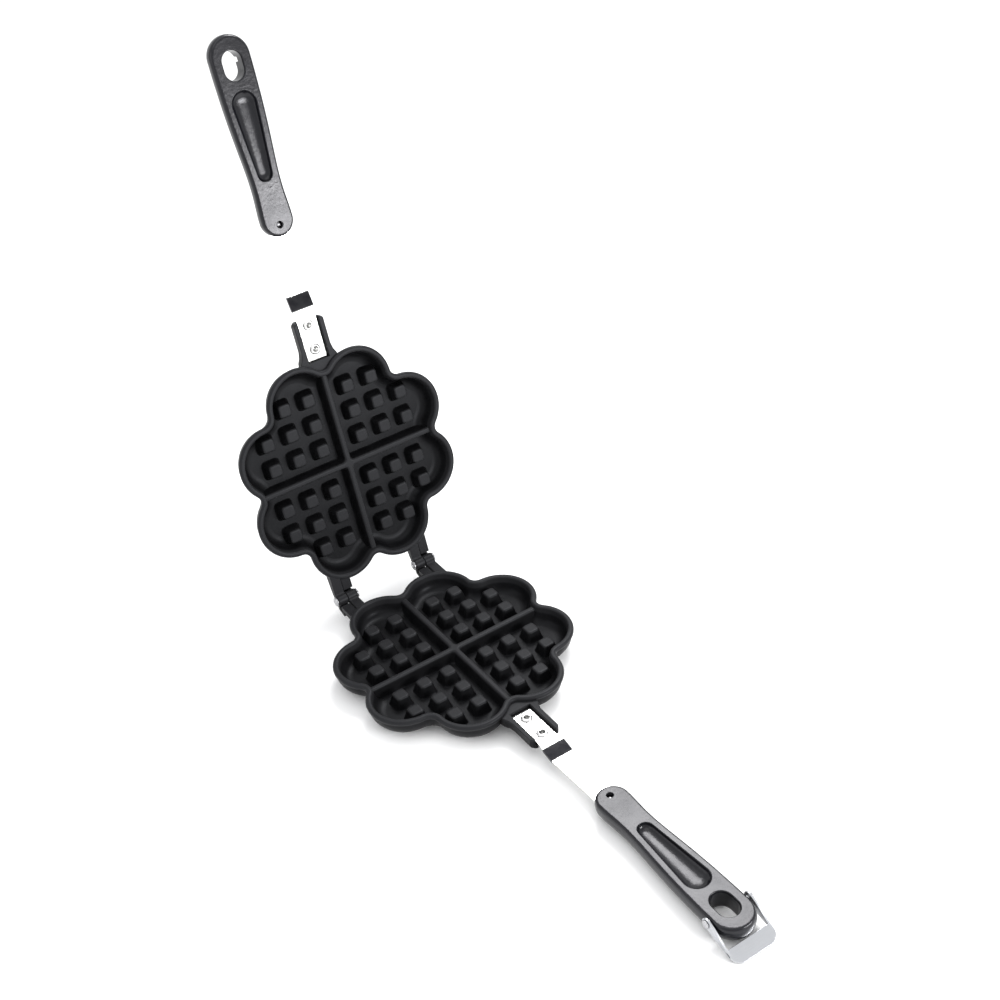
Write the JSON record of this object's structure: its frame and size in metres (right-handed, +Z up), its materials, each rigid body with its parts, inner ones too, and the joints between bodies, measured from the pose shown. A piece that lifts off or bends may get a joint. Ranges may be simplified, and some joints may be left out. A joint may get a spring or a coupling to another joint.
{
  "type": "stovetop waffle iron",
  "caption": "Hand-held stovetop waffle iron: hinged flower-shaped plates that bake heart-shaped waffles, long strap-mounted handles and a swing latch.",
  "frame": {"origin": "centre of the lower plate's flat underside, where the iron rests on a hob", "axes": "+X along the hinge axis, -Y toward the lower handle's end, +Z up out of the lower plate"},
  "size_m": [0.1356, 0.448, 0.334],
  "materials": {
    "cast_plates": "cast aluminium with a satin charcoal non-stick coating",
    "strap_steel": "bright, finely brushed",
    "handle_phenolic": "glossy blue-black, faintly mottled",
    "rivet_steel": "upset steel, satin",
    "screw_steel": "zinc grey",
    "pin_steel": "turned steel",
    "latch_steel": "pressed sheet steel, light grey"
  },
  "bodies": {
    "base": {"left_hinge_pin": "pin_steel", "left_hinge_washer": "pin_steel", "left_latch_pin": "pin_steel", "lower_arm": "strap_steel", "lower_arm_rivet_inner": "rivet_steel", "lower_arm_rivet_outer": "rivet_steel", "lower_handle": "handle_phenolic", "lower_handle_screw": "screw_steel", "lower_handle_washer": "screw_steel", "lower_plate": "cast_plates", "right_hinge_pin": "pin_steel", "right_hinge_washer": "pin_steel", "right_latch_pin": "pin_steel"},
    "lid": {"upper_arm": "strap_steel", "upper_arm_rivet_inner": "rivet_steel", "upper_arm_rivet_outer": "rivet_steel", "upper_handle": "handle_phenolic", "upper_handle_screw": "screw_steel", "upper_handle_washer": "screw_steel", "upper_plate": "cast_plates"},
    "latch": {"latch_plate": "latch_steel"}
  },
  "joints": [
    {"name": "lid_hinge", "type": "hinge", "parent": "base", "child": "lid", "pos_m": [0, 0.0778, 0.016], "axis": [1, 0, 0], "range_deg": [0, 106.5]},
    {"name": "latch_hinge", "type": "hinge", "parent": "base", "child": "latch", "pos_m": [0, -0.2407, 0.0108], "axis": [-1, 0, 0], "range_deg": [0, 114]}
  ]
}
